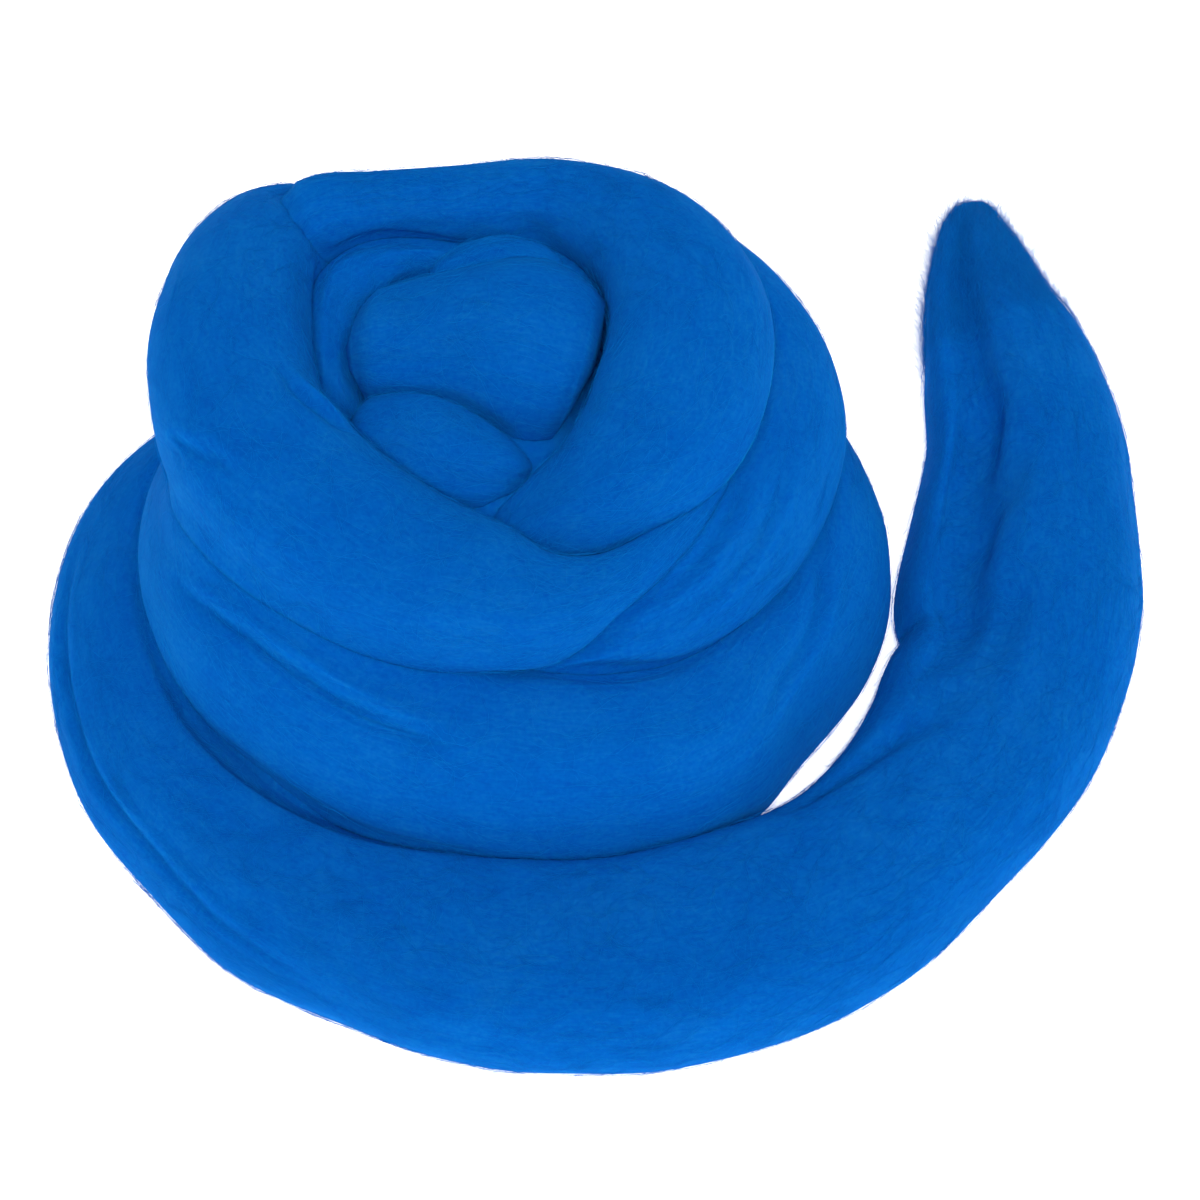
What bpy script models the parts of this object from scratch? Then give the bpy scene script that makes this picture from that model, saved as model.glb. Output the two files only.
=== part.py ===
"""Wool roving: one loose, untwisted sliver of combed wool, wound into a mound with its outer end lying free
round the front and up the right-hand side.

Frame: metres, +Z up, the front towards -Y. The origin is the middle of the mound's flat foot.
Two solids are built: the wound mound, and the loose end that comes out from under it.
"""

import math
from collections import namedtuple

import bmesh
import bpy
import numpy as np
from mathutils import Matrix, Vector

MM = 0.001

# Driving sizes, in millimetres.
PART_GAP = 0.35  # clearance between the mound and the loose end
CORE_SIZE = Vector((106, 106, 84))  # the turns hidden inside the mound, as one filled dome
CORE_CENTRE = Vector((-2, 8, 10))
FLOOR_BLOCK = 400  # side of the block that cuts the mound's foot flat
SOCKET_DEPTH = 5  # how far the loose end's cutter reaches below the floor

# The form of a strand's cross-section.
FULLNESS = 2.3  # 2 is an ellipse, more is a fuller, softer-cornered section
FOLD_AT = 0.36  # where a lengthwise fold runs, in shares of half the width
FOLD_WIDTH = 0.20

# How finely the solids are faceted.
RING_STEP = 9  # millimetres between the cross-sections of a strand
TURN_SIDES = 24
LOOSE_SIDES = 30
WELD_GRID = 1.3  # millimetres, of the grid that welds the turns into one solid
SOFTENING = 2  # rounds of smoothing over the welded creases
FACES_KEPT = 0.11

# One row for each cross-section: x, y and height place the strand's centreline, width lies across the strand
# and depth stands up. roll lifts the edge on the strand's right as it runs, in degrees, and fold is how deep
# a lengthwise crease is pressed into the top on that side.
Section = namedtuple("Section", "x y height width depth roll fold", defaults=[0, 0])

# The loose end, from its tip to the end hidden behind the mound.
LOOSE_END = [
    Section(97, 109, 4, 5, 5),
    Section(97, 106, 6, 12, 8),
    Section(97, 99, 8, 17, 12),
    Section(98, 89, 10, 22, 17, 0, 2),
    Section(99, 75, 11, 29, 23, -6, 4),
    Section(101, 58, 12, 36, 27, -10, 6),
    Section(103, 39, 12, 41, 29, -12, 7),
    Section(103, 19, 12, 45, 30, -12, 8),
    Section(101, -1, 12, 48, 30, -10, 8),
    Section(96, -20, 12, 47, 29, -6, 5),
    Section(88, -38, 12, 45, 28, 0, 1),
    Section(77, -54, 12, 44, 27),
    Section(63, -67, 12, 45, 27),
    Section(46, -77, 12, 45, 27),
    Section(27, -83, 12, 43, 27),
    Section(10, -85, 12, 43, 27),
    Section(-8, -83, 12, 43, 27),
    Section(-25, -77, 12, 39, 27),
    Section(-40, -68, 12, 37, 27),
    Section(-54, -55, 12, 35, 27),
    Section(-65, -39, 12, 35, 27),
    Section(-72, -21, 12, 33, 27),
    Section(-74, -3, 12, 33, 27),
    Section(-70, 14, 12, 33, 27),
    Section(-61, 26, 12, 32, 27),
    Section(-49, 34, 12, 30, 26),
    Section(-36, 36, 12, 26, 25),
    Section(-26, 35, 12, 18, 20),
]

# The mound's turns, bottom first. Each begins and ends out of sight under the next.
BOTTOM_TURN = [
    Section(-50, 32, 19, 30, 32),
    Section(-56, 8, 19, 38, 40),
    Section(-53, -14, 19, 41, 41),
    Section(-42, -31, 19, 42, 41),
    Section(-24, -43, 19, 42, 41),
    Section(0, -47, 19, 42, 41),
    Section(24, -43, 19, 42, 41),
    Section(41, -29, 19, 39, 40),
    Section(52, -12, 18, 39, 39),
    Section(55, 5, 18, 40, 39),
    Section(48, 25, 18, 40, 39),
    Section(32, 41, 18, 40, 39),
    Section(10, 49, 18, 40, 39),
    Section(-14, 48, 18, 38, 39),
    Section(-36, 40, 19, 34, 34),
    Section(-50, 24, 19, 28, 28),
]

MIDDLE_TURN = [
    Section(-46, 34, 36, 20, 24),
    Section(-34, 50, 38, 28, 30),
    Section(-14, 58, 40, 30, 32),
    Section(10, 59, 41, 31, 33),
    Section(32, 51, 42, 32, 33),
    Section(44, 37, 43, 33, 33),
    Section(49, 20, 43, 33, 33),
    Section(47, 5, 43, 32, 32),
    Section(38, -8, 43, 31, 31),
    Section(25, -17, 42, 29, 29),
    Section(9, -21, 40, 27, 27),
    Section(-8, -24, 38, 28, 28),
    Section(-25, -29, 35, 34, 32),
    Section(-40, -20, 36, 36, 34),
    Section(-50, -4, 38, 37, 36),
    Section(-52, 14, 40, 35, 36),
    Section(-47, 34, 41, 31, 32),
    Section(-36, 50, 40, 20, 24),
]

FRONT_WRAP = [
    Section(-2, 57, 36, 14, 16),
    Section(-20, 62, 42, 20, 20),
    Section(-37, 63, 48, 23, 24),
    Section(-48, 54, 54, 25, 28),
    Section(-52, 38, 57, 28, 31),
    Section(-52, 21, 58, 32, 33),
    Section(-47, 4, 57, 33, 33),
    Section(-37, -11, 55, 32, 31),
    Section(-22, -22, 53, 29, 28),
    Section(-6, -27, 51, 26, 25),
    Section(7, -28, 49, 22, 22),
    Section(19, -27, 49, 19, 20),
    Section(29, -19, 50, 15, 18),
    Section(38, -9, 50, 13, 15),
    Section(45, 3, 49, 11, 12),
    Section(49, 14, 46, 8, 9),
]

TOP_RING = [
    Section(-1, -16, 38, 14, 14),
    Section(10, -11, 47, 18, 18),
    Section(20, -6, 53, 23, 22),
    Section(28, 2, 57, 28, 26),
    Section(33, 14, 60, 31, 28),
    Section(35, 29, 61, 31, 28),
    Section(31, 43, 61, 28, 26),
    Section(22, 54, 61, 23, 23),
    Section(8, 60, 61, 19, 21),
    Section(-9, 61, 60, 18, 20),
    Section(-25, 60, 58, 18, 20),
    Section(-37, 58, 54, 17, 19),
    Section(-45, 52, 48, 14, 16),
]

INNER_TURN = [
    Section(-28, 0, 38, 14, 16),
    Section(-34, 18, 46, 16, 20),
    Section(-36, 36, 50, 16, 20),
    Section(-31, 49, 52, 16, 20),
    Section(-20, 55, 52, 16, 20),
    Section(-7, 57, 49, 16, 18),
    Section(6, 55, 42, 12, 14),
]

# The heart is the sliver's inner end, folded to and fro in the mound's eye.
HEART_BACK = [
    Section(-14, 42, 50, 8, 8),
    Section(-6, 46, 54, 15, 14),
    Section(5, 47, 56, 17, 16),
    Section(13, 43, 55, 15, 14),
    Section(16, 36, 52, 8, 8),
]

HEART_MIDDLE = [
    Section(-29, 20, 49, 10, 10),
    Section(-25, 22, 51, 27, 26),
    Section(-15, 24, 53, 35, 33),
    Section(-2, 24, 54, 37, 34),
    Section(9, 19, 52, 35, 32),
    Section(15, 16, 50, 25, 24),
    Section(18, 13, 48, 8, 8),
]

HEART_FRONT = [
    Section(-30, 8, 48, 8, 8),
    Section(-25, 8, 50, 20, 19),
    Section(-15, 5, 51, 23, 22),
    Section(-4, 0, 49, 21, 20),
    Section(4, -3, 46, 8, 8),
]

WOOL = {"name": "dyed_wool", "color": (0.0006, 0.1095, 0.479, 1.0), "roughness": 0.95, "metallic": 0.0}


def smooth_rows(rows, step):
    """The rows joined by a Catmull-Rom curve, with a new row about every step."""
    knots = np.array(rows, dtype=float)
    knots = np.vstack([2 * knots[0] - knots[1], knots, 2 * knots[-1] - knots[-2]])
    made = []
    for before, start, end, after in zip(knots, knots[1:], knots[2:], knots[3:]):
        count = max(1, round(np.linalg.norm(end[:3] - start[:3]) / step))
        for t in np.arange(count) / count:
            slope = (end - before) * t
            bend = (2 * before - 5 * start + 4 * end - after) * t**2
            twist = (3 * start - before - 3 * end + after) * t**3
            made.append((2 * start + slope + bend + twist) / 2)
    made.append(knots[-2])
    return np.array(made)


def rings_of(rows, sides, step, swell=0.0):
    """The strand's cross-sections as rings of points. swell makes the strand bigger all round, for a cutter."""
    rows = smooth_rows(rows, step)
    along = np.gradient(rows[:, :3], axis=0)
    along /= np.linalg.norm(along, axis=1)[:, None]
    rows[0, :3] -= swell * along[0]
    rows[-1, :3] += swell * along[-1]
    across = np.cross(along, [0, 0, 1])
    across /= np.linalg.norm(across, axis=1)[:, None]
    upward = np.cross(across, along)
    angles = 2 * np.pi * np.arange(sides) / sides
    flat = np.sign(np.cos(angles)) * np.abs(np.cos(angles)) ** (2 / FULLNESS)
    tall = np.sign(np.sin(angles)) * np.abs(np.sin(angles)) ** (2 / FULLNESS)
    fold_shape = np.exp(-(((flat - FOLD_AT) / FOLD_WIDTH) ** 2)) * (tall > 0)
    rings = []
    for row, side, up in zip(rows, across, upward):
        centre, (width, depth, roll, fold) = row[:3], row[3:]
        wide = (width / 2 + swell) * flat
        high = (depth / 2 + swell) * tall - fold * fold_shape
        roll = math.radians(roll)
        sideways = wide * math.cos(roll) - high * math.sin(roll)
        lifted = wide * math.sin(roll) + high * math.cos(roll)
        rings.append(centre + np.outer(sideways, side) + np.outer(lifted, up))
    return rings


def strand_mesh(name, rows, sides, swell=0.0, floor=None):
    """A closed loft through the strand's cross-sections, pressed flat where it meets the floor."""
    rings = rings_of(rows, sides, RING_STEP, swell)
    loft = bmesh.new()
    rows_of_points = []
    for ring in rings:
        if floor is not None:
            ring[:, 2] = np.maximum(ring[:, 2], floor)
        rows_of_points.append([loft.verts.new(point) for point in ring * MM])
    for near, far in zip(rows_of_points, rows_of_points[1:]):
        for side in range(sides):
            after = (side + 1) % sides
            loft.faces.new((near[side], far[side], far[after], near[after]))
    loft.faces.new(rows_of_points[0])
    loft.faces.new(rows_of_points[-1])
    bmesh.ops.recalc_face_normals(loft, faces=loft.faces)
    mesh = bpy.data.meshes.new(name)
    loft.to_mesh(mesh)
    loft.free()
    return mesh


def mound_mesh(name, turns):
    """The turns and the filled core, overlapping in one mesh."""
    heap = bmesh.new()
    for number, rows in enumerate(turns):
        turn = strand_mesh(f"turn_{number}", rows, TURN_SIDES)
        heap.from_mesh(turn)
        bpy.data.meshes.remove(turn)
    place = Matrix.Translation(CORE_CENTRE * MM) @ Matrix.Diagonal((*(CORE_SIZE * MM / 2), 1))
    bmesh.ops.create_uvsphere(heap, u_segments=32, v_segments=16, radius=1, matrix=place)
    mesh = bpy.data.meshes.new(name)
    heap.to_mesh(mesh)
    heap.free()
    return mesh


def new_collection(name):
    made = bpy.data.collections.new(name)
    bpy.context.scene.collection.children.link(made)
    return made


def add_part(name, mesh, collection, material):
    made = bpy.data.objects.new(name, mesh)
    mesh.materials.append(material)
    mesh.shade_smooth()
    collection.objects.link(made)
    return made


def add_cutter(name, mesh, collection):
    made = bpy.data.objects.new(name, mesh)
    made.hide_render = True
    made.display_type = "WIRE"
    collection.objects.link(made)
    return made


def floor_mesh(name):
    """A block whose top face is the floor."""
    block = bmesh.new()
    below = Matrix.Translation((0, 0, -FLOOR_BLOCK / 2 * MM))
    bmesh.ops.create_cube(block, size=FLOOR_BLOCK * MM, matrix=below)
    mesh = bpy.data.meshes.new(name)
    block.to_mesh(mesh)
    block.free()
    return mesh


def wool_material():
    made = bpy.data.materials.new(WOOL["name"])
    made.use_nodes = True
    shader = made.node_tree.nodes["Principled BSDF"]
    shader.inputs["Base Color"].default_value = WOOL["color"]
    shader.inputs["Roughness"].default_value = WOOL["roughness"]
    shader.inputs["Metallic"].default_value = WOOL["metallic"]
    return made


def weld_and_cut(mound, cutters):
    """Welds the turns into one skin, thins its faces, then cuts the flat foot and the loose end's way out."""
    weld = mound.modifiers.new("weld_turns", "REMESH")
    weld.mode = "VOXEL"
    weld.voxel_size = WELD_GRID * MM
    soften = mound.modifiers.new("soften_creases", "SMOOTH")
    soften.iterations = SOFTENING
    thin = mound.modifiers.new("thin_faces", "DECIMATE")
    thin.ratio = FACES_KEPT
    for cutter in cutters:
        cut = mound.modifiers.new(cutter.name, "BOOLEAN")
        cut.operation = "DIFFERENCE"
        cut.object = cutter


def main():
    for old in list(bpy.data.objects):
        bpy.data.objects.remove(old)
    parts = new_collection("wool_roving")
    helpers = new_collection("cutters")
    wool = wool_material()

    add_part("loose_end", strand_mesh("loose_end", LOOSE_END, LOOSE_SIDES, floor=0), parts, wool)

    turns = [BOTTOM_TURN, MIDDLE_TURN, FRONT_WRAP, TOP_RING, INNER_TURN]
    turns += [HEART_BACK, HEART_MIDDLE, HEART_FRONT]
    mound = add_part("wound_mound", mound_mesh("wound_mound", turns), parts, wool)
    floor = add_cutter("floor_cutter", floor_mesh("floor_cutter"), helpers)
    way_out = strand_mesh("way_out_cutter", LOOSE_END, LOOSE_SIDES, PART_GAP, -SOCKET_DEPTH)
    weld_and_cut(mound, [floor, add_cutter("way_out_cutter", way_out, helpers)])


main()
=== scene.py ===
import math
from collections import namedtuple

import bmesh
import bpy
import numpy as np
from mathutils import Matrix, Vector
from mathutils.bvhtree import BVHTree


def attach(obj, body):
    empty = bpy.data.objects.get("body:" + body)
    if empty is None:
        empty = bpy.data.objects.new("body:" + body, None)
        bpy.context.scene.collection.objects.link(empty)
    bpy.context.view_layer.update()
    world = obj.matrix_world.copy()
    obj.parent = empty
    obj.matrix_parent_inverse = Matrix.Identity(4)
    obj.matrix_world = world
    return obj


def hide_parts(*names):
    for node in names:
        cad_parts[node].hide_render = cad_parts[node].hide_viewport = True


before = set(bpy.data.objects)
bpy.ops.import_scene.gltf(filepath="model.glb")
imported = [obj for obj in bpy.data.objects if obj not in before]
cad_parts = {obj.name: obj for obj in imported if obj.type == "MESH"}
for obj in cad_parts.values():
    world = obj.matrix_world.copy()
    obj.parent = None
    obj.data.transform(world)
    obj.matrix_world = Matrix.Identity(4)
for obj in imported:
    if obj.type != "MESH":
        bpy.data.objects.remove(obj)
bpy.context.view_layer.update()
uvName = "strand"  # u runs along a strand and v round it, both in metres

# A camera looking down at the wool from the front.
cameraView = {
    "target": (0.018, 0.0087, 0.0),
    "elevation": 54,  # degrees above the floor
    "distance": 0.9,
    "lens": 135,
    "sensor": 36,
}


def addCamera(view):
    tilt = math.radians(view["elevation"])
    away = Vector((0, -math.cos(tilt), math.sin(tilt)))
    lens = bpy.data.cameras.new("camera")
    lens.lens = view["lens"]
    lens.sensor_width = view["sensor"]
    camera = bpy.data.objects.new("camera", lens)
    camera.location = Vector(view["target"]) + view["distance"] * away
    camera.rotation_euler = away.to_track_quat("Z", "Y").to_euler()
    bpy.context.scene.collection.objects.link(camera)
    bpy.context.scene.camera = camera


addCamera(cameraView)
print("camera set")

# One row for each cross-section of a strand, in metres: x, y and height place its middle, width lies across
# it and depth stands up. roll lifts the edge on its right as it runs, in degrees, and crease is how deep a
# lengthwise crease is pressed into its top.
crossSection = namedtuple("crossSection", "x y height width depth roll crease", defaults=[0, 0])

looseEndRows = [
    crossSection(0.0976, 0.1065, 0.004, 0.004, 0.005),
    crossSection(0.0975, 0.104, 0.006, 0.0086, 0.008),
    crossSection(0.0968, 0.098, 0.008, 0.0136, 0.012),
    crossSection(0.097, 0.089, 0.01, 0.019, 0.017, -4, 0.002),
    crossSection(0.0983, 0.075, 0.011, 0.0265, 0.023, -12, 0.0035),
    crossSection(0.1015, 0.058, 0.012, 0.0348, 0.027, -16, 0.0045),
    crossSection(0.104, 0.039, 0.012, 0.0394, 0.029, -18, 0.005),
    crossSection(0.1026, 0.019, 0.012, 0.0454, 0.03, -18, 0.0055),
    crossSection(0.1005, -0.0005, 0.012, 0.049, 0.03, -17, 0.005),
    crossSection(0.0995, -0.013, 0.012, 0.0451, 0.0295, -14, 0.004),
    crossSection(0.0945, -0.0259, 0.012, 0.0458, 0.0288, -8, 0.002),
    crossSection(0.0884, -0.038, 0.012, 0.0432, 0.028, -3, 0.0006),
    crossSection(0.0772, -0.0542, 0.012, 0.0398, 0.027),
    crossSection(0.0635, -0.0678, 0.012, 0.0412, 0.027),
    crossSection(0.0465, -0.0777, 0.012, 0.043, 0.027),
    crossSection(0.0272, -0.0831, 0.012, 0.043, 0.027),
    crossSection(0.01, -0.084, 0.012, 0.042, 0.027),
    crossSection(-0.008, -0.0816, 0.012, 0.0404, 0.027),
    crossSection(-0.0248, -0.0761, 0.012, 0.0372, 0.027),
    crossSection(-0.0402, -0.0675, 0.012, 0.0369, 0.027),
    crossSection(-0.0529, -0.0548, 0.012, 0.036, 0.027),
    crossSection(-0.065, -0.04, 0.012, 0.0336, 0.027),
    crossSection(-0.0715, -0.021, 0.012, 0.033, 0.027),
    crossSection(-0.073, -0.003, 0.012, 0.032, 0.027),
    crossSection(-0.069, 0.014, 0.012, 0.032, 0.027),
    crossSection(-0.0605, 0.026, 0.012, 0.032, 0.027),
    crossSection(-0.049, 0.034, 0.012, 0.03, 0.026),
    crossSection(-0.036, 0.036, 0.012, 0.026, 0.025),
    crossSection(-0.026, 0.035, 0.012, 0.018, 0.02),
]

bottomTurnRows = [
    crossSection(-0.05, 0.032, 0.019, 0.03, 0.032),
    crossSection(-0.054, 0.01, 0.022, 0.036, 0.044),
    crossSection(-0.051, -0.01, 0.0245, 0.039, 0.05),
    crossSection(-0.041, -0.027, 0.025, 0.041, 0.051),
    crossSection(-0.023, -0.04, 0.023, 0.043, 0.048),
    crossSection(0, -0.045, 0.021, 0.043, 0.047),
    crossSection(0.024, -0.043, 0.02, 0.042, 0.043),
    crossSection(0.0341, -0.0377, 0.0194, 0.0413, 0.0413),
    crossSection(0.041, -0.029, 0.019, 0.039, 0.04),
    crossSection(0.052, -0.012, 0.018, 0.039, 0.039),
    crossSection(0.055, 0.005, 0.018, 0.04, 0.039),
    crossSection(0.048, 0.025, 0.018, 0.04, 0.039),
    crossSection(0.032, 0.041, 0.018, 0.04, 0.039),
    crossSection(0.01, 0.049, 0.018, 0.04, 0.039),
    crossSection(-0.014, 0.048, 0.018, 0.038, 0.039),
    crossSection(-0.036, 0.04, 0.019, 0.034, 0.034),
    crossSection(-0.05, 0.024, 0.019, 0.028, 0.028),
]

middleTurnRows = [
    crossSection(-0.046, 0.034, 0.036, 0.02, 0.024),
    crossSection(-0.034, 0.05, 0.038, 0.028, 0.03),
    crossSection(-0.014, 0.058, 0.04, 0.03, 0.032),
    crossSection(0.01, 0.059, 0.041, 0.031, 0.033),
    crossSection(0.032, 0.051, 0.042, 0.032, 0.033),
    crossSection(0.044, 0.037, 0.043, 0.033, 0.033),
    crossSection(0.049, 0.02, 0.043, 0.033, 0.033),
    crossSection(0.047, 0.005, 0.042, 0.033, 0.033),
    crossSection(0.038, -0.01, 0.041, 0.034, 0.032),
    crossSection(0.025, -0.02, 0.039, 0.034, 0.031),
    crossSection(0.009, -0.025, 0.036, 0.031, 0.029),
    crossSection(-0.008, -0.027, 0.033, 0.027, 0.025),
    crossSection(-0.025, -0.028, 0.033, 0.027, 0.025),
    crossSection(-0.038, -0.019, 0.035, 0.027, 0.027),
    crossSection(-0.046, -0.003, 0.037, 0.027, 0.029),
    crossSection(-0.048, 0.014, 0.039, 0.028, 0.03),
    crossSection(-0.045, 0.034, 0.04, 0.026, 0.028),
    crossSection(-0.036, 0.05, 0.04, 0.02, 0.024),
]

frontWrapRows = [
    crossSection(-0.008, 0.062, 0.03, 0.012, 0.012),
    crossSection(-0.022, 0.0665, 0.034, 0.018, 0.018),
    crossSection(-0.035, 0.0655, 0.04, 0.024, 0.023),
    crossSection(-0.0448, 0.0573, 0.049, 0.026, 0.0275),
    crossSection(-0.0502, 0.046, 0.054, 0.027, 0.03),
    crossSection(-0.0523, 0.033, 0.057, 0.029, 0.032),
    crossSection(-0.0523, 0.019, 0.058, 0.032, 0.033),
    crossSection(-0.048, 0.003, 0.057, 0.033, 0.033),
    crossSection(-0.037, -0.0115, 0.055, 0.034, 0.031),
    crossSection(-0.022, -0.022, 0.053, 0.034, 0.028),
    crossSection(-0.007, -0.028, 0.052, 0.03, 0.025),
    crossSection(0.007, -0.0315, 0.052, 0.022, 0.02),
    crossSection(0.02, -0.0275, 0.0535, 0.012, 0.013),
    crossSection(0.031, -0.0185, 0.055, 0.008, 0.01),
    crossSection(0.039, -0.0085, 0.0555, 0.0055, 0.008),
    crossSection(0.044, 0.0005, 0.054, 0.005, 0.006),
]

topRingRows = [
    crossSection(-0.001, -0.012, 0.042, 0.014, 0.014),
    crossSection(0.009, -0.0095, 0.048, 0.02, 0.02),
    crossSection(0.02, -0.0065, 0.054, 0.027, 0.024),
    crossSection(0.0285, 0.0015, 0.0575, 0.031, 0.027),
    crossSection(0.0335, 0.0135, 0.06, 0.032, 0.028),
    crossSection(0.035, 0.029, 0.061, 0.031, 0.028),
    crossSection(0.031, 0.043, 0.061, 0.027, 0.026),
    crossSection(0.022, 0.054, 0.0605, 0.022, 0.022),
    crossSection(0.008, 0.0615, 0.06, 0.016, 0.016),
    crossSection(-0.009, 0.0615, 0.0585, 0.015, 0.016),
    crossSection(-0.025, 0.061, 0.058, 0.0145, 0.0155),
    crossSection(-0.037, 0.0585, 0.0565, 0.018, 0.019),
    crossSection(-0.046, 0.053, 0.051, 0.016, 0.018),
]

innerTurnRows = [
    crossSection(-0.028, 0, 0.034, 0.014, 0.016),
    crossSection(-0.034, 0.018, 0.042, 0.016, 0.018),
    crossSection(-0.035, 0.036, 0.047, 0.016, 0.018),
    crossSection(-0.03, 0.048, 0.05, 0.015, 0.017),
    crossSection(-0.02, 0.054, 0.05, 0.014, 0.015),
    crossSection(-0.007, 0.055, 0.047, 0.013, 0.015),
    crossSection(0.006, 0.054, 0.042, 0.012, 0.014),
]

heartBackRows = [
    crossSection(-0.014, 0.042, 0.054, 0.006, 0.006),
    crossSection(-0.012, 0.0425, 0.0555, 0.01, 0.01),
    crossSection(-0.0077, 0.0435, 0.057, 0.014, 0.013),
    crossSection(-0.0019, 0.044, 0.0575, 0.016, 0.015),
    crossSection(0.005, 0.0435, 0.057, 0.014, 0.014),
    crossSection(0.009, 0.041, 0.0555, 0.01, 0.01),
]

heartMiddleRows = [
    crossSection(-0.0286, 0.029, 0.0506, 0.014, 0.014),
    crossSection(-0.0281, 0.0289, 0.051, 0.0195, 0.0195),
    crossSection(-0.0268, 0.0287, 0.0516, 0.0235, 0.0235),
    crossSection(-0.0235, 0.0286, 0.0522, 0.026, 0.026),
    crossSection(-0.017, 0.0287, 0.0532, 0.0285, 0.028),
    crossSection(-0.009, 0.0288, 0.054, 0.032, 0.031),
    crossSection(0.002, 0.0282, 0.0546, 0.038, 0.034),
    crossSection(0.009, 0.027, 0.0535, 0.037, 0.032),
    crossSection(0.013, 0.0265, 0.052, 0.031, 0.027),
    crossSection(0.015, 0.026, 0.051, 0.021, 0.018),
    crossSection(0.0156, 0.0258, 0.0506, 0.011, 0.01),
]

heartFrontRows = [
    crossSection(-0.03, 0.012, 0.049, 0.007, 0.007),
    crossSection(-0.0275, 0.011, 0.0495, 0.014, 0.014),
    crossSection(-0.023, 0.009, 0.0505, 0.019, 0.019),
    crossSection(-0.015, 0.0055, 0.0515, 0.022, 0.021),
    crossSection(-0.007, 0.0025, 0.051, 0.019, 0.019),
    crossSection(0, 0.0018, 0.0495, 0.013, 0.014),
    crossSection(0.0045, 0.0035, 0.0475, 0.006, 0.006),
]

strandForm = {
    "fullness": 2.3,  # 2 is an ellipse, more is fuller at the corners
    "creaseAt": 0.36,  # where the lengthwise crease runs, in shares of half the width
    "creaseWidth": 0.20,
    "step": 0.0018,  # between rings of points
    "pathStep": 0.004,  # between points of the middle line
    "endRound": 0.45,  # how far an end's rounding reaches, in shares of its width
    "endFlat": 0.0006,  # what the rounding leaves out at the very end, so that it doesn't come to a point
    "capReach": 0.001,  # how far the UV map runs on over each end
}


def smoothRows(rows, step):
    # a Catmull-Rom curve through the rows
    knots = np.array(rows, dtype=float)
    knots = np.vstack([2 * knots[0] - knots[1], knots, 2 * knots[-1] - knots[-2]])
    made = []
    for before, start, end, after in zip(knots, knots[1:], knots[2:], knots[3:]):
        count = max(1, round(np.linalg.norm(end[:3] - start[:3]) / step))
        for t in np.arange(count) / count:
            slope = (end - before) * t
            bend = (2 * before - 5 * start + 4 * end - after) * t**2
            twist = (3 * start - before - 3 * end + after) * t**3
            made.append((2 * start + slope + bend + twist) / 2)
    made.append(knots[-2])
    return np.array(made)


def unit(vectors):
    return vectors / np.maximum(np.linalg.norm(vectors, axis=-1, keepdims=True), 1e-9)


def ringsOf(rows, sides):
    # the strand's rings of points, the first of each ring at the bottom, with the length run at each ring
    form = strandForm
    across = unit(np.cross(np.gradient(rows[:, :3], axis=0), [0, 0, 1]))
    upward = unit(np.cross(across, np.gradient(rows[:, :3], axis=0)))
    angles = 2 * np.pi * np.arange(sides) / sides - np.pi / 2
    power = 2 / form["fullness"]
    flat = np.sign(np.cos(angles)) * np.abs(np.cos(angles)) ** power
    tall = np.sign(np.sin(angles)) * np.abs(np.sin(angles)) ** power
    creaseShape = np.exp(-(((flat - form["creaseAt"]) / form["creaseWidth"]) ** 2)) * (tall > 0)
    width, depth, roll, crease = (rows[:, column, None] for column in (3, 4, 5, 6))
    wide = width / 2 * flat
    high = depth / 2 * tall - crease * creaseShape
    roll = np.radians(roll)
    sideways = wide * np.cos(roll) - high * np.sin(roll)
    lifted = wide * np.sin(roll) + high * np.cos(roll)
    rings = rows[:, None, :3] + sideways[..., None] * across[:, None] + lifted[..., None] * upward[:, None]
    steps = np.linalg.norm(np.diff(rows[:, :3], axis=0), axis=1)
    return rings, np.concatenate([[0], np.cumsum(steps)])


def outwardNormals(rings):
    alongStep = np.gradient(rings, axis=0)
    roundStep = np.roll(rings, -1, axis=1) - np.roll(rings, 1, axis=1)
    return unit(np.cross(alongStep, roundStep))


def eased(share):
    return share * share * (3 - 2 * share)


def softNoise(chance, lengths, sides, period, count, skew):
    # soft random values from -1 to 1, a period long and count to a turn. They drift round the strand by
    # skew turns to the metre.
    rough = chance.uniform(-1, 1, (int(lengths[-1] / period) + 3, count))
    down = lengths / period
    row = down.astype(int)
    rowShare = eased((down - row)[:, None])
    turn = (np.arange(sides)[None] / sides + skew * lengths[:, None]) % 1 * count
    column = turn.astype(int) % count
    share = eased(turn - turn.astype(int))
    near = rough[row[:, None], column] * (1 - rowShare) + rough[row[:, None] + 1, column] * rowShare
    after = (column + 1) % count
    far = rough[row[:, None], after] * (1 - rowShare) + rough[row[:, None] + 1, after] * rowShare
    return near * (1 - share) + far * share


# A fold is a soft trough pressed in along a path on a strand. The path's points are metres along the strand
# and degrees round it, 0 at its right side, 90 at the top and 180 at its left. lip raises the side further
# round, in shares of the depth.
fold = namedtuple("fold", "path depth width lip", defaults=[0.35])
foldForm = {
    "fade": 0.6,  # how it deepens from its ends: less is sooner
    "endShare": 0.02,  # past its ends it is as deep as here, in shares of its length
    "lipAt": 1.6,  # how far the lip stands beside the trough, in widths
}


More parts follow.
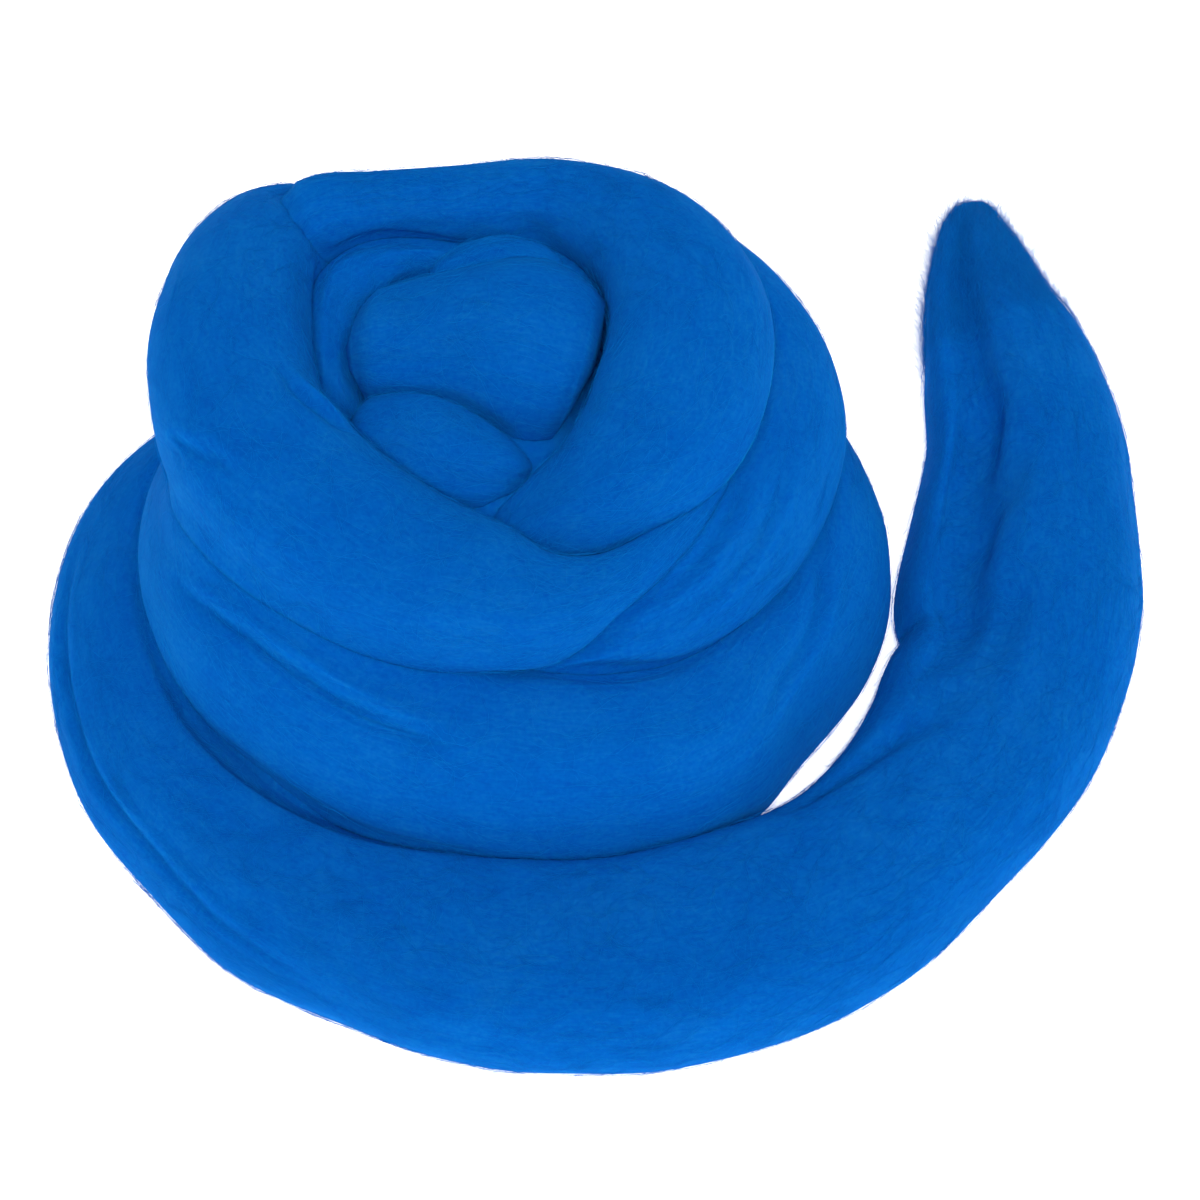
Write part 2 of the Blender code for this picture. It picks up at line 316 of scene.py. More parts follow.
def foldRelief(lengths, sides, girth, folds):
    relief = np.zeros((len(lengths), sides))
    along = lengths[:, None] * np.ones((1, sides))
    degrees = 360 * np.arange(sides)[None] / sides - 90
    perDegree = girth[:, None] / 360
    for pressed in folds:
        ends = np.array(pressed.path, dtype=float)
        runs = np.linalg.norm(np.diff(ends, axis=0) * [1, np.mean(girth) / 360], axis=1)
        passed = np.concatenate([[0], np.cumsum(runs)])
        nearest = np.full(relief.shape, np.inf)
        signed = np.zeros(relief.shape)
        share = np.zeros(relief.shape)
        for start, end, before, run in zip(ends, ends[1:], passed, runs):
            aim = np.array([end[0] - start[0], (end[1] - start[1]) * np.mean(girth) / 360]) / run
            x = along - start[0]
            y = (degrees - start[1]) * perDegree
            at = np.clip(x * aim[0] + y * aim[1], 0, run)
            gap = np.hypot(x - at * aim[0], y - at * aim[1])
            closer = gap < nearest
            side = np.sign(y * aim[0] - x * aim[1])
            nearest = np.where(closer, gap, nearest)
            signed = np.where(closer, gap * side, signed)
            share = np.where(closer, (before + at) / passed[-1], share)
        share = np.clip(share, foldForm["endShare"], 1 - foldForm["endShare"])
        fade = np.clip(np.sin(np.pi * share), 0, 1) ** foldForm["fade"]
        trough = np.exp(-((nearest / pressed.width) ** 2))
        lip = np.exp(-(((signed - foldForm["lipAt"] * pressed.width) / pressed.width) ** 2))
        relief += pressed.depth * fade * (pressed.lip * lip - trough)
    return relief


def roundEnds(rows):
    # each end of a strand closes in a soft round
    steps = np.linalg.norm(np.diff(rows[:, :3], axis=0), axis=1)
    run = np.concatenate([[0], np.cumsum(steps)])
    for distance, width in ((run, rows[0, 3]), (run[-1] - run, rows[-1, 3])):
        share = np.clip((distance + strandForm["endFlat"]) / (strandForm["endRound"] * width), 0, 1)
        rows[:, 3:5] *= np.sqrt(1 - (1 - share) ** 2)[:, None]
    return rows


def strandRings(rows, sides, look, folds, seed):
    # the strand's form with its bundles of fibres and its folds
    rows = roundEnds(smoothRows(rows, strandForm["step"]))
    rings, lengths = ringsOf(rows, sides)
    girth = np.linalg.norm(np.roll(rings, -1, axis=1) - rings, axis=2).sum(axis=1)
    chance = np.random.default_rng(seed)
    relief = np.zeros(rings.shape[:2])
    for count, period, depth in look["bundles"]:
        skew = chance.uniform(-1, 1) * look["twist"]
        relief += depth * softNoise(chance, lengths, sides, period, count, skew)
    slim = np.minimum(1, girth / look["fullGirth"])[:, None]
    relief = relief * slim + foldRelief(lengths, sides, girth, folds)
    rings = rings + outwardNormals(rings) * relief[..., None]
    rings[..., 2] = np.maximum(rings[..., 2], 0)
    return rings, lengths, girth


# Where two strands touch, each draws in towards the seam. Around each place listed under open, within its
# reach, the seam is so many metres wider and deeper, or narrower and shallower. It swells shut where its
# depth falls below zero.
seamLook = {
    "width": 0.0024,
    "depth": 0.0012,
    "narrowest": 0.0004,
    "fullGirth": 0.06,  # a strand slimmer than this round draws in less
    "open": [
        (Vector((-0.046, -0.048, 0.022)), 0.022, 0.0020, 0.0020),
        (Vector((0.020, -0.066, 0.020)), 0.030, -0.0018, -0.0012),
        (Vector((-0.064, -0.002, 0.046)), 0.012, 0.0050, -0.0032),
        (Vector((-0.053, -0.014, 0.045)), 0.014, 0.0060, -0.0036),
        (Vector((-0.040, -0.026, 0.043)), 0.014, 0.0060, -0.0036),
        (Vector((-0.026, -0.034, 0.042)), 0.013, 0.0050, -0.0030),
        (Vector((-0.010, -0.039, 0.041)), 0.010, 0.0030, -0.0020),
        (Vector((0.030, -0.012, 0.056)), 0.016, -0.0020, -0.0012),
        (Vector((0.020, -0.036, 0.047)), 0.012, 0.0018, 0.0018),
        (Vector((0.044, -0.006, 0.049)), 0.009, 0.0022, 0.0022),
        (Vector((0.004, 0.038, 0.061)), 0.014, -0.0020, -0.0012),
        (Vector((0.012, 0.004, 0.052)), 0.010, 0.0010, 0.0010),
        (Vector((-0.022, 0.052, 0.056)), 0.012, 0.0010, 0.0010),
        (Vector((0.002, 0.053, 0.060)), 0.010, 0.0024, -0.0026),
        (Vector((0.015, 0.036, 0.060)), 0.008, 0.0016, -0.0020),
        (Vector((-0.018, 0.018, 0.056)), 0.012, -0.0008, -0.0006),
    ],
}


def sideFaces(count, sides):
    # the faces between count rings of so many sides
    faces = []
    for ring in range(count - 1):
        here, there = ring * sides, (ring + 1) * sides
        for side in range(sides):
            after = (side + 1) % sides
            faces.append((here + side, there + side, there + after, here + after))
    return faces


def skinTree(rings):
    points = [tuple(point) for point in rings.reshape(-1, 3)]
    return BVHTree.FromPolygons(points, sideFaces(*rings.shape[:2]))


def depthInside(points, tree, reach):
    # how far each point is inside the tree's skin, negative outside, and no further than reach
    depths = []
    for point in points:
        spot, normal, _, gap = tree.find_nearest(point, reach)
        if spot is None:
            depths.append(-reach)
        else:
            depths.append(gap if (Vector(point) - spot).dot(normal) < 0 else -gap)
    return np.array(depths)


def pinchSeams(grids):
    trees = {name: skinTree(rings) for name, (rings, _, _) in grids.items()}
    drawn = {}
    for name, (rings, lengths, girth) in grids.items():
        points = rings.reshape(-1, 3)
        width = np.full(len(points), seamLook["width"])
        depth = np.full(len(points), seamLook["depth"])
        for place, reach, wider, deeper in seamLook["open"]:
            share = np.exp(-((np.linalg.norm(points - place, axis=1) / reach) ** 2))
            width += wider * share
            depth += deeper * share
        width = np.maximum(width, seamLook["narrowest"])
        nearness = np.zeros(len(points))
        for other, tree in trees.items():
            if other != name:
                depths = depthInside(points.tolist(), tree, width.max())
                nearness = np.maximum(nearness, np.clip(1 + depths / width, 0, 1))
        drawnIn = eased(nearness) * depth
        slim = np.minimum(1, girth / seamLook["fullGirth"])[:, None]
        rings = rings - outwardNormals(rings) * (drawnIn.reshape(rings.shape[:2]) * slim)[..., None]
        rings[..., 2] = np.maximum(rings[..., 2], 0)
        drawn[name] = (rings, lengths, girth)
    return drawn, trees


def strandMesh(name, rings, lengths, girth):
    # a closed skin over the rings, with its own UV map in metres
    count, sides = rings.shape[:2]
    points = [*rings.reshape(-1, 3), rings[0].mean(axis=0), rings[-1].mean(axis=0)]
    first, last = count * sides, count * sides + 1
    lastRing = (count - 1) * sides
    begin, end = lengths[0], lengths[-1]
    roundShare = np.arange(sides + 1) / sides * girth.mean()
    faces = sideFaces(count, sides)
    marks = []
    for here, there in zip(lengths, lengths[1:]):
        for low, high in zip(roundShare, roundShare[1:]):
            marks += [here, low, there, low, there, high, here, high]
    for side, (low, high) in enumerate(zip(roundShare, roundShare[1:])):
        after = (side + 1) % sides
        faces.append((side, after, first))
        marks += [begin, low, begin, high, begin - strandForm["capReach"], low]
        faces.append((lastRing + after, lastRing + side, last))
        marks += [end, high, end, low, end + strandForm["capReach"], low]
    mesh = bpy.data.meshes.new(name)
    mesh.from_pydata([tuple(point) for point in points], [], faces)
    mesh.uv_layers.new(name=uvName).data.foreach_set("uv", marks)
    mesh.shade_smooth()
    mesh.validate()
    return mesh


def addPiece(name, mesh, material, node):
    piece = bpy.data.objects.new(name, mesh)
    piece.data.materials.append(material)
    bpy.context.scene.collection.objects.link(piece)
    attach(piece, "root")
    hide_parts(node)
    return piece


class Wire:
    # one output socket of a node tree; sums on it add Math nodes
    def __init__(self, tree, socket=None):
        self.tree = tree
        self.socket = socket

    def node(self, kind, settings=None, sockets=None, output=0):
        # any node, by its type, its settings, and the values or wires of its sockets
        made = self.tree.nodes.new(kind)
        for key, value in (settings or {}).items():
            setattr(made, key, value)
        for key, value in (sockets or {}).items():
            taken = [s for s in made.inputs if s.enabled and key in (s.name, s.identifier)]
            socket = made.inputs[key] if isinstance(key, int) else taken[0]
            if isinstance(value, Wire):
                self.tree.links.new(value.socket, socket)
            else:
                socket.default_value = value
        given = [s for s in made.outputs if s.enabled]
        return Wire(self.tree, given[output] if isinstance(output, int) else made.outputs[output])

    def math(self, operation, *values):
        return self.node("ShaderNodeMath", {"operation": operation}, dict(enumerate(values)))

    def __add__(self, other):
        return self.math("ADD", self, other)

    __radd__ = __add__

    def __sub__(self, other):
        return self.math("SUBTRACT", self, other)

    def __rsub__(self, other):
        return self.math("SUBTRACT", other, self)

    def __mul__(self, other):
        return self.math("MULTIPLY", self, other)

    __rmul__ = __mul__


woolFinish = {
    "deep": (0.0, 0.074, 0.346, 1),
    "middle": (0.0, 0.092, 0.382, 1),
    "light": (0.0020, 0.112, 0.402, 1),
    "fibreAcross": 1900,  # fine fibres to a metre, across the strand
    "fibreAlong": 380,
    "lockAcross": 420,  # coarser bundles
    "lockAlong": 34,
    "patches": 70,  # to a metre, as the fuzz is
    "fuzz": 1100,
    "detail": 2.0,
    "fineDetail": 3.0,
    # how much each of them adds to the colour and to the relief, and where the blues begin and end
    "inColour": {"fine": 0.25, "locks": 0.1, "patches": 0.25, "fuzz": 0.4},
    "inRelief": {"fine": 0.8, "locks": 0.6, "fuzz": 0.8},
    "deepFrom": 0.36,
    "lightFrom": 0.64,
    "fineDepth": 0.00008,
    # The loose fibres' blues below are paler than the skin's: painted light, making up for the shade on
    # their thin tubes and the shadows they cast.
    "fibreDeep": (0.0003, 0.124, 0.47, 1),
    "fibreMiddle": (0.0010, 0.143, 0.505, 1),
    "fibreLight": (0.0035, 0.170, 0.54, 1),
    "fibreShades": 300.0,  # to a metre
    "roughness": 0.95,
    "specular": 0.02,
    "glow": 0.8,  # the share of light that passes through the outer fibres
    "glowReach": (0.0026, 0.0029, 0.0030),  # how far it goes, in metres
    "sheen": 0.12,
    "sheenRoughness": 0.6,
    "sheenTint": (0.01, 0.20, 0.75, 1),
}


def stretched(wires, along, across, detail):
    # noise drawn out along the strand's fibres
    place = wires.node("ShaderNodeUVMap", {"uv_map": uvName})
    place = wires.node("ShaderNodeMapping", None, {"Vector": place, "Scale": (along, across, 1)})
    settings = {"noise_dimensions": "2D"}
    return wires.node("ShaderNodeTexNoise", settings, {"Vector": place, "Scale": 1.0, "Detail": detail})


def blend(wires, share, low, high):
    return wires.node("ShaderNodeMix", {"data_type": "RGBA"}, {"Factor": share, "A": low, "B": high})


def woolShader(name, look):
    made = bpy.data.materials.new(name)
    made.use_nodes = True
    shader = made.node_tree.nodes["Principled BSDF"]
    shader.inputs["Roughness"].default_value = look["roughness"]
    shader.inputs["Specular IOR Level"].default_value = look["specular"]
    shader.inputs["Sheen Weight"].default_value = look["sheen"]
    shader.inputs["Sheen Roughness"].default_value = look["sheenRoughness"]
    shader.inputs["Sheen Tint"].default_value = look["sheenTint"]
    return made, Wire(made.node_tree), shader


def threeBlues(wires, shade, deep, middle, light):
    # from deep through middle to light blue as shade goes from 0 to 1
    return blend(wires, shade * 2 - 1, blend(wires, shade * 2, deep, middle), light)


def woolMaterial(name, look):
    made, wires, shader = woolShader(name, look)
    shader.inputs["Subsurface Weight"].default_value = look["glow"]
    shader.inputs["Subsurface Radius"].default_value = look["glowReach"]
    shader.inputs["Subsurface Scale"].default_value = 1.0
    fine = stretched(wires, look["fibreAlong"], look["fibreAcross"], look["fineDetail"])
    locks = stretched(wires, look["lockAlong"], look["lockAcross"], look["detail"])
    spot = wires.node("ShaderNodeTexCoord", output="Object")
    noise = "ShaderNodeTexNoise"
    patches = wires.node(noise, None, {"Vector": spot, "Scale": look["patches"], "Detail": look["detail"]})
    fuzz = wires.node(noise, None, {"Vector": spot, "Scale": look["fuzz"], "Detail": look["detail"]})
    adds = look["inColour"]
    streak = fine * adds["fine"] + locks * adds["locks"] + patches * adds["patches"] + fuzz * adds["fuzz"]
    limits = {"From Min": look["deepFrom"], "From Max": look["lightFrom"]}
    shade = wires.node("ShaderNodeMapRange", None, {"Value": streak, **limits})
    adds = look["inRelief"]
    height = fine * adds["fine"] + locks * adds["locks"] + fuzz * adds["fuzz"]
    bump = wires.node("ShaderNodeBump", None, {"Distance": look["fineDepth"], "Height": height})
    colour = threeBlues(wires, shade, look["deep"], look["middle"], look["light"])
    made.node_tree.links.new(colour.socket, shader.inputs["Base Color"])
    made.node_tree.links.new(bump.socket, shader.inputs["Normal"])
    return made


def fibreMaterial(name, look):
    # the loose fibres are painted a paler blue than the skin, painted light that makes up for the shade on
    # their thin tubes and the shadows they cast; each fibre's blue differs a little at random
    made, wires, shader = woolShader(name, look)
    spot = wires.node("ShaderNodeTexCoord", output="Object")
    spots = {"Vector": spot, "Scale": look["fibreShades"], "Detail": look["detail"]}
    shade = wires.node("ShaderNodeTexNoise", None, spots)
    colour = threeBlues(wires, shade, look["fibreDeep"], look["fibreMiddle"], look["fibreLight"])
    made.node_tree.links.new(colour.socket, shader.inputs["Base Color"])
    return made


wool = woolMaterial("dyedWool", woolFinish)
woolFibre = fibreMaterial("dyedWoolFibreWithPaintedLight", woolFinish)
print("wool materials made")


fibreForm = {
    "sides": 3,
    "bluntness": 1.05,  # 1 brings both ends to a point
    "thinnest": 0.5,  # the thinnest and the lowest fibre, in shares of the full thickness and height
    "lowest": 0.3,
    "seed": 7,  # for the choice of those that are kept
}
fibreInputs = {
    "Strand": "NodeSocketGeometry",
    "Count": "NodeSocketInt",
    "Points": "NodeSocketInt",
    "Length": "NodeSocketFloat",
    "Girth": "NodeSocketFloat",
    "Shortest": "NodeSocketFloat",
    "Longest": "NodeSocketFloat",
    "Thickness": "NodeSocketFloat",
    "Height": "NodeSocketFloat",
    "Lift": "NodeSocketFloat",
    "Lean": "NodeSocketFloat",
    "Curl": "NodeSocketFloat",
    "Seed": "NodeSocketInt",
    "Material": "NodeSocketMaterial",
}


def fibreTree():
    # fibres that follow a strand's skin, laid out on its UV map
    tree = bpy.data.node_groups.new("lying_fibres", "GeometryNodeTree")
    for label, kind in fibreInputs.items():
        tree.interface.new_socket(name=label, in_out="INPUT", socket_type=kind)
    tree.interface.new_socket(name="Fibres", in_out="OUTPUT", socket_type="NodeSocketGeometry")
    start = Wire(tree)
    given = {label: start.node("NodeGroupInput", output=label) for label in fibreInputs}

    line = start.node("GeometryNodeCurvePrimitiveLine")
    line = start.node("GeometryNodeResampleCurve", None, {"Curve": line, "Count": given["Points"]})
    roots = start.node("GeometryNodePoints", None, {"Count": given["Count"]})
    fibres = start.node("GeometryNodeInstanceOnPoints", None, {"Points": roots, "Instance": line})
    fibres = start.node("GeometryNodeRealizeInstances", None, {"Geometry": fibres})
    number = start.node("GeometryNodeFieldOnDomain", {"domain": "CURVE", "data_type": "INT"},
                        {"Value": start.node("GeometryNodeInputIndex")})

    def chance(low, high, kind):
        return start.node("FunctionNodeRandomValue", {"data_type": "FLOAT"},
                          {"Min": low, "Max": high, "ID": number, "Seed": given["Seed"] + kind})

    share = start.node("GeometryNodeSplineParameter", output="Factor")
    reach = chance(given["Shortest"], given["Longest"], 1)
    middle = reach * 0.5 + chance(0.0, 1.0, 2) * (given["Length"] - reach)
    turn = chance(0.0, given["Girth"], 3)
    passed = (share - 0.5) * reach
    heading = chance(given["Lean"] * -1, given["Lean"], 4)
    heading = heading + chance(given["Curl"] * -1, given["Curl"], 5) * passed
    along = middle + passed * start.math("COSINE", heading)
    sideways = turn + passed * start.math("SINE", heading)
    sideways = start.math("FLOORED_MODULO", sideways, given["Girth"])
    spot = start.node("ShaderNodeCombineXYZ", None, {"X": along, "Y": sideways})

    def onSkin(field):
        vectors = {"data_type": "FLOAT_VECTOR"}
        marks = start.node("GeometryNodeInputNamedAttribute", vectors, {"Name": uvName})
        wanted = {"Mesh": given["Strand"], "Value": field, "Source UV Map": marks, "Sample UV": spot}
        return start.node("GeometryNodeSampleUVSurface", vectors, wanted)

    skin = onSkin(start.node("GeometryNodeInputPosition"))
    outward = onSkin(start.node("GeometryNodeInputNormal"))
    rise = chance(0.0, 1.0, 6)
    height = given["Height"] * chance(fibreForm["lowest"], 1.0, 7)
    height = height + given["Lift"] * rise * rise * share * share
    vectorMath = "ShaderNodeVectorMath"
    raised = start.node(vectorMath, {"operation": "SCALE"}, {"Vector": outward, "Scale": height})
    place = start.node(vectorMath, {"operation": "ADD"}, {0: skin, 1: raised})
    fibres = start.node("GeometryNodeSetPosition", None, {"Geometry": fibres, "Position": place})

    ends = share * 2 - 1
    thickness = start.math("SQRT", fibreForm["bluntness"] - ends * ends) * given["Thickness"] * 0.5
    thickness = thickness * chance(fibreForm["thinnest"], 1.0, 8)
    outline = {"Resolution": fibreForm["sides"], "Radius": 1.0}
    ring = start.node("GeometryNodeCurvePrimitiveCircle", None, outline)
    tubes = start.node("GeometryNodeCurveToMesh", None,
                       {"Curve": fibres, "Profile Curve": ring, "Scale": thickness, "Fill Caps": True})
    tubes = start.node("GeometryNodeRealizeInstances", None, {"Geometry": tubes})
    tubes = start.node("GeometryNodeSetMaterial", None, {"Geometry": tubes, "Material": given["Material"]})
    finish = tree.nodes.new("NodeGroupOutput")
    tree.links.new(tubes.socket, finish.inputs["Fibres"])
    return tree


lyingFibres = fibreTree()


def growFibres(strand, length, girth, look, seed):
    # one strand's fibres of one kind, as a plain mesh
    grower = bpy.data.objects.new("grower", strand.data.copy())
    bpy.context.scene.collection.objects.link(grower)
    grow = grower.modifiers.new("fibres", "NODES")
    grow.node_group = lyingFibres
    values = {**look, "Length": length, "Girth": girth, "Seed": seed, "Material": woolFibre}
    for item in lyingFibres.interface.items_tree:
        if item.in_out == "INPUT" and item.name in values:
            grow[item.identifier] = values[item.name]
    graph = bpy.context.evaluated_depsgraph_get()
    made = bpy.data.meshes.new_from_object(grower.evaluated_get(graph), depsgraph=graph)
    bpy.data.objects.remove(grower)
    return made


# A fibre is kept where its points and its middle are above these heights, and where its middle is less than
# this deep inside another strand, which is looked for within reach. All are in metres.
shownFibre = {
    "lowestPoint": 0.0004,
    "lowestMiddle": 0.002,
    "deepest": 0.0003,
    "reach": 0.004,
}


def fibresOf(mesh, perFibre, hiders):
    # the points of the fibres that are kept, and one fibre's faces
    points = np.empty(len(mesh.vertices) * 3)
    mesh.vertices.foreach_get("co", points)
    points = points.reshape(-1, perFibre, 3)
    pattern = [tuple(face.vertices) for face in mesh.polygons if max(face.vertices) < perFibre]
    middles = points[:, perFibre // 2]
    shown = points[:, :, 2].min(axis=1) > shownFibre["lowestPoint"]
    shown &= middles[:, 2] > shownFibre["lowestMiddle"]
    for tree in hiders:
        shown &= depthInside(middles.tolist(), tree, shownFibre["reach"]) < shownFibre["deepest"]
    bpy.data.meshes.remove(mesh)
    return points[shown], pattern


def addFibres(name, strands, look, most, node):
    # every strand takes as many fibres to the metre, and the piece keeps at most so many triangles
    perFibre = fibreForm["sides"] * look["Points"]
    grown = []
    for number, (strand, length, girth, hiders) in enumerate(strands):
        counted = {**look, "Count": round(look["Count"] * length)}
        grown.append(fibresOf(growFibres(strand, length, girth, counted, number), perFibre, hiders))
    points = np.concatenate([fibre[0] for fibre in grown])
    pattern = grown[0][1]
    trianglesEach = sum(len(face) - 2 for face in pattern)
    kept = np.random.default_rng(fibreForm["seed"]).permutation(len(points))[: most // trianglesEach]
    faces = [tuple(corner + first for corner in face) for first in range(0, len(kept) * perFibre, perFibre)
             for face in pattern]
    mesh = bpy.data.meshes.new(name)
    mesh.from_pydata(points[kept].reshape(-1, 3).tolist(), [], faces)
    mesh.shade_smooth()
    print(name, "has", len(kept), "of", len(points), "fibres,", len(kept) * trianglesEach, "triangles")
    return addPiece(name, mesh, woolFibre, node)


# The loose end is one length of the sliver, from where it leaves the mound to its drawn-out tip.
looseEnd = {
    "sides": 132,
    "seed": 3,
    "twist": 0.25,  # turns a metre that its bundles drift round
    "fullGirth": 0.11,  # where it is slimmer than this round, its bundles stand out less
    # bundles to a turn, their length and how far they stand out
    "bundles": [(5, 0.16, 0.0008), (6, 0.030, 0.0006), (11, 0.11, 0.0006), (23, 0.08, 0.0003),
                (47, 0.05, 0.00012), (9, 0.012, 0.0003)],
    "diameter": 0.045,
    "pathStart": 1,  # rows left off the tip's end of the path
}
looseEndFolds = [
    fold([(0.020, 84), (0.045, 78), (0.070, 72)], 0.0012, 0.0044, 0),
    fold([(0.060, 62), (0.085, 62), (0.115, 68), (0.140, 64)], 0.0016, 0.0110, 0),
    fold([(0.060, 78), (0.080, 66), (0.100, 50)], 0.0026, 0.0042, 0.1),
    fold([(0.078, 94), (0.094, 84), (0.109, 68)], 0.0022, 0.0034, 0.2),
    fold([(0.104, 50), (0.114, 60), (0.126, 66), (0.136, 62), (0.145, 55)], 0.0019, 0.0032, 0.1),
    fold([(0.112, 96), (0.124, 91), (0.141, 83)], 0.0019, 0.0028, 0.1),
    fold([(0.140, 95), (0.144, 82), (0.146, 70), (0.149, 58)], 0.0009, 0.0026, 0.2),
    fold([(0.147, 80), (0.157, 64), (0.166, 50), (0.177, 42), (0.190, 40)], 0.0026, 0.0028, 0.1),
    fold([(0.380, 138), (0.345, 146), (0.315, 150), (0.285, 156)], 0.0016, 0.0015, 0.2),
]


# The mound's turns, each with its own folds.
turnLook = {
    "twist": 0.4,
    "fullGirth": 0.10,
    "bundles": [(5, 0.13, 0.0007), (6, 0.030, 0.0005), (11, 0.09, 0.0005), (23, 0.06, 0.0003),
                (47, 0.045, 0.00012), (9, 0.012, 0.0002)],
}
turns = {
    "bottom_turn": {"rows": bottomTurnRows, "sides": 110, "seed": 11, "folds": [
        fold([(0.049, 48), (0.056, 56), (0.062, 62), (0.073, 66), (0.084, 65), (0.099, 60)],
             0.0032, 0.0018, 0.4),
        fold([(0.188, 80), (0.168, 58), (0.142, 42)], 0.0016, 0.0020),
    ]},
    "middle_turn": {"rows": middleTurnRows, "sides": 96, "seed": 12, "folds": [
        fold([(0.150, 98), (0.162, 110), (0.175, 126)], 0.0016, 0.0016),
        fold([(0.143, 116), (0.157, 130), (0.172, 145)], 0.0012, 0.0018),
    ]},
    "front_wrap": {"rows": frontWrapRows, "sides": 96, "seed": 13, "folds": [
        fold([(0.098, 118), (0.108, 124), (0.119, 134)], 0.0024, 0.0016, 0.5),
        fold([(0.100, 5), (0.104, 35), (0.108, 50), (0.114, 60)], 0.0014, 0.0014),
    ]},
    "top_ring": {"rows": topRingRows, "sides": 84, "seed": 14, "folds": []},
    "inner_turn": {"rows": innerTurnRows, "sides": 60, "seed": 15, "folds": []},
    "heart_back": {"rows": heartBackRows, "sides": 60, "seed": 16, "folds": []},
    "heart_middle": {"rows": heartMiddleRows, "sides": 90, "seed": 17, "folds": []},
    "heart_front": {"rows": heartFrontRows, "sides": 72, "seed": 18, "folds": []},
}

# Fibres on the skin: how many to the metre of strand, and their sizes in metres. Height is how far they lie
# off the skin and Lift how much further their free ends rise. Lean is how far they stray from the strand's
# own way, in radians, and Curl how fast they bend, in radians to the metre.
lyingLook = {"Count": 15500, "Points": 4, "Shortest": 0.005, "Longest": 0.015, "Thickness": 0.00007,
             "Height": 0.0004, "Lift": 0.0005, "Lean": 0.7, "Curl": 130.0}
fuzzLook = {"Count": 24000, "Points": 3, "Shortest": 0.002, "Longest": 0.006, "Thickness": 0.00006,
            "Height": 0.0005, "Lift": 0.0020, "Lean": 1.5, "Curl": 300.0}
strayLook = {"Count": 1500, "Points": 10, "Shortest": 0.010, "Longest": 0.026, "Thickness": 0.00007,
             "Height": 0.0005, "Lift": 0.0012, "Lean": 1.2, "Curl": 220.0}
# Lengths below zero lay the fibres the other way, towards the tip.
tipLook = {"Count": 280000, "Points": 3, "Shortest": -0.004, "Longest": -0.009, "Thickness": 0.00005,
           "Height": 0.0004, "Lift": 0.0046, "Lean": 0.9, "Curl": 150.0}
tipLength = 0.042
moundCounts = {"fibres": 10000, "fuzz": 16000, "strays": 700}  # to the metre, on the mound's turns


def addWool():
    # every strand is shaped first, so that each can draw in where it touches another
    outerRings = strandRings(looseEndRows, looseEnd["sides"], looseEnd, looseEndFolds, looseEnd["seed"])
    grids = {"loose_end": outerRings}
    for name, turn in turns.items():
        grids[name] = strandRings(turn["rows"], turn["sides"], turnLook, turn["folds"], turn["seed"])
    grids, trees = pinchSeams(grids)
    print("strands shaped")
    strands = {}
    for name, grid in grids.items():
        node = "loose_end" if name == "loose_end" else "wound_mound"
        label = "loose_end_wool" if name == "loose_end" else name
        piece = addPiece(label, strandMesh(label, *grid), wool, node)
        hiders = [tree for other, tree in trees.items() if other != name]
        strands[name] = (piece, grid[1][-1], grid[2].mean(), hiders)
    print("strands wound")
    return strands


strands = addWool()
outer = [strands.pop("loose_end")]
wound = list(strands.values())
tuft = [(outer[0][0], tipLength, *outer[0][2:])]
onLooseEnd = [
    addFibres("loose_end_fibres", outer, lyingLook, 120000, "loose_end"),
    addFibres("loose_end_fuzz", outer, fuzzLook, 110000, "loose_end"),
    addFibres("loose_end_strays", outer, strayLook, 40000, "loose_end"),
    addFibres("tip_tuft", tuft, tipLook, 105000, "loose_end"),
]
addFibres("mound_fibres", wound, {**lyingLook, "Count": moundCounts["fibres"]}, 190000, "wound_mound")
addFibres("mound_fuzz", wound, {**fuzzLook, "Count": moundCounts["fuzz"]}, 150000, "wound_mound")
addFibres("mound_strays", wound, {**strayLook, "Count": moundCounts["strays"]}, 40000, "wound_mound")

core = {"size": (0.106, 0.106, 0.084), "centre": (-0.002, 0.008, 0.010), "around": 48, "upward": 24}


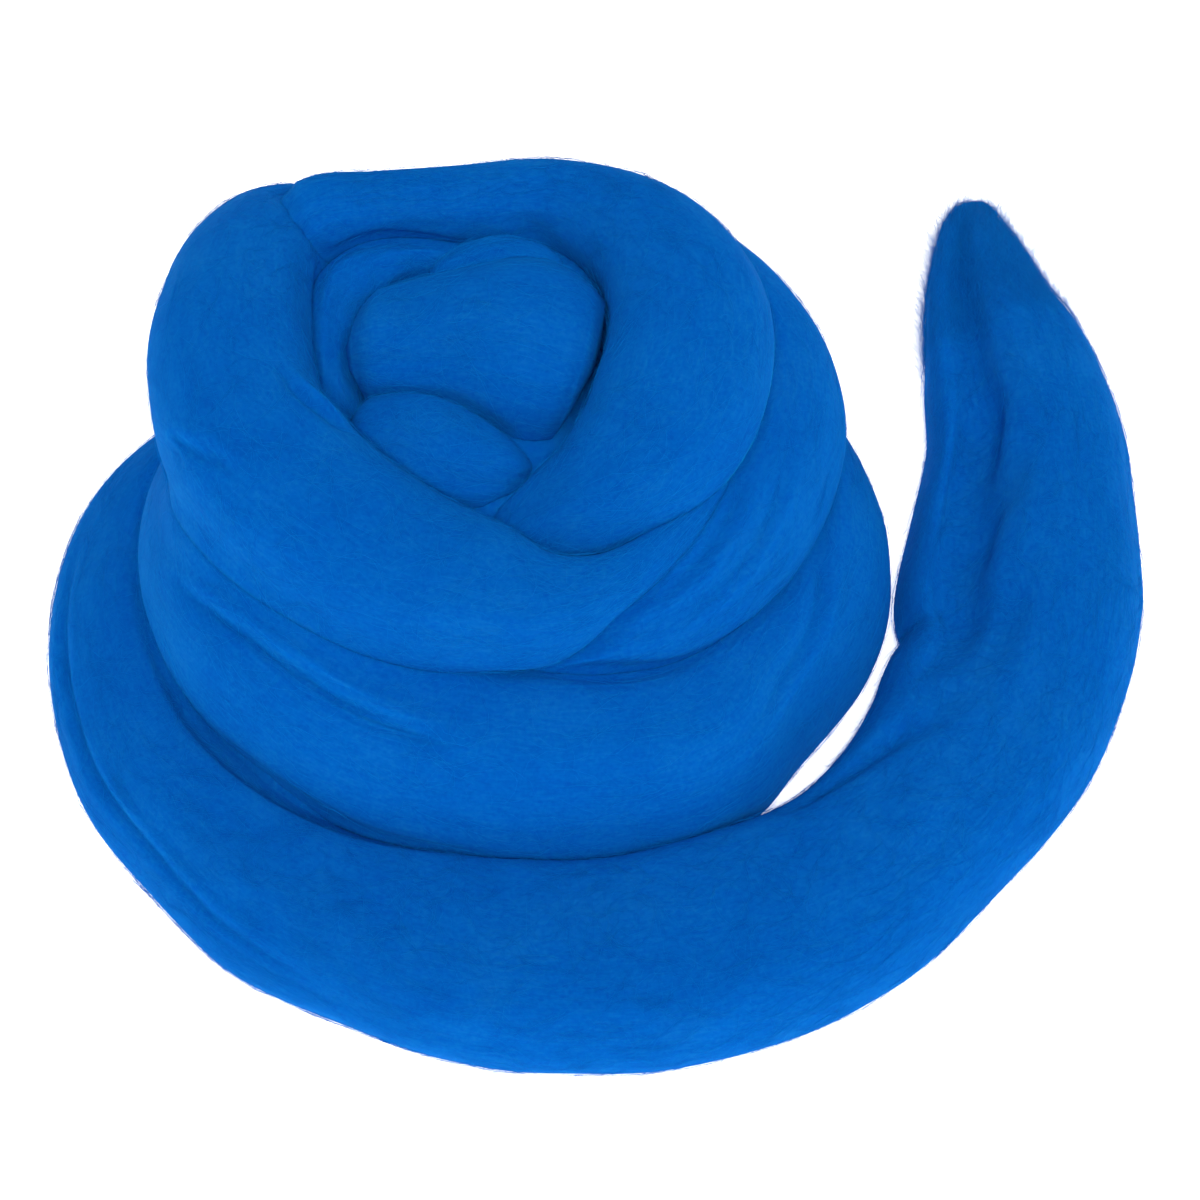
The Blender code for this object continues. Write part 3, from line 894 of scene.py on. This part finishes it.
def addCore():
    # the turns out of sight inside the mound. Blender lists its sphere's faces in a new order each run, so
    # they are sorted.
    heap = bmesh.new()
    bmesh.ops.create_uvsphere(heap, u_segments=core["around"], v_segments=core["upward"], radius=0.5)
    heap.verts.index_update()
    faces = sorted([corner.index for corner in face.verts] for face in heap.faces)
    points = []
    for point in heap.verts:
        place = Vector(core["centre"]) + Vector(point.co[axis] * core["size"][axis] for axis in range(3))
        place.z = max(place.z, 0)
        points.append(place)
    heap.free()
    mesh = bpy.data.meshes.new("inner_turns")
    mesh.from_pydata(points, [], faces)
    mesh.shade_smooth()
    return addPiece("inner_turns", mesh, wool, "wound_mound")


addCore()

studio = {
    "floorSize": 3.0,
    "floorHeight": -0.0002,  # just below the wool
    "floorColour": (0.93, 0.93, 0.93, 1),
    "floorRoughness": 0.9,
    "floorGlow": 0.8,
    "sky": 0.44,
    "front": {"from": (0.0, -0.59, 0.81), "strength": 2.82, "softness": 16},  # softness in degrees
    "side": {"from": (0.7, -0.3, 0.9), "strength": 0.55, "softness": 50},
}


def softSun(name, look):
    light = bpy.data.lights.new(name, "SUN")
    light.energy = look["strength"]
    light.angle = math.radians(look["softness"])
    made = bpy.data.objects.new(name, light)
    made.location = look["from"]
    made.rotation_euler = Vector(look["from"]).to_track_quat("Z", "Y").to_euler()
    bpy.context.scene.collection.objects.link(made)


def addStudio():
    side = studio["floorSize"] / 2
    low = studio["floorHeight"]
    corners = [(-side, -side, low), (side, -side, low), (side, side, low), (-side, side, low)]
    mesh = bpy.data.meshes.new("floor")
    mesh.from_pydata(corners, [], [(0, 1, 2, 3)])
    floor = bpy.data.objects.new("floor", mesh)
    bpy.context.scene.collection.objects.link(floor)
    paper = bpy.data.materials.new("paper")
    paper.use_nodes = True
    shader = paper.node_tree.nodes["Principled BSDF"]
    shader.inputs["Base Color"].default_value = studio["floorColour"]
    shader.inputs["Roughness"].default_value = studio["floorRoughness"]
    shader.inputs["Emission Color"].default_value = studio["floorColour"]
    shader.inputs["Emission Strength"].default_value = studio["floorGlow"]
    mesh.materials.append(paper)
    world = bpy.data.worlds.new("studio")
    world.use_nodes = True
    world.node_tree.nodes["Background"].inputs["Color"].default_value = (1, 1, 1, 1)
    world.node_tree.nodes["Background"].inputs["Strength"].default_value = studio["sky"]
    bpy.context.scene.world = world
    softSun("front", studio["front"])
    softSun("side", studio["side"])
    bpy.context.scene.view_settings.view_transform = "Standard"


addStudio()
print("studio lit")
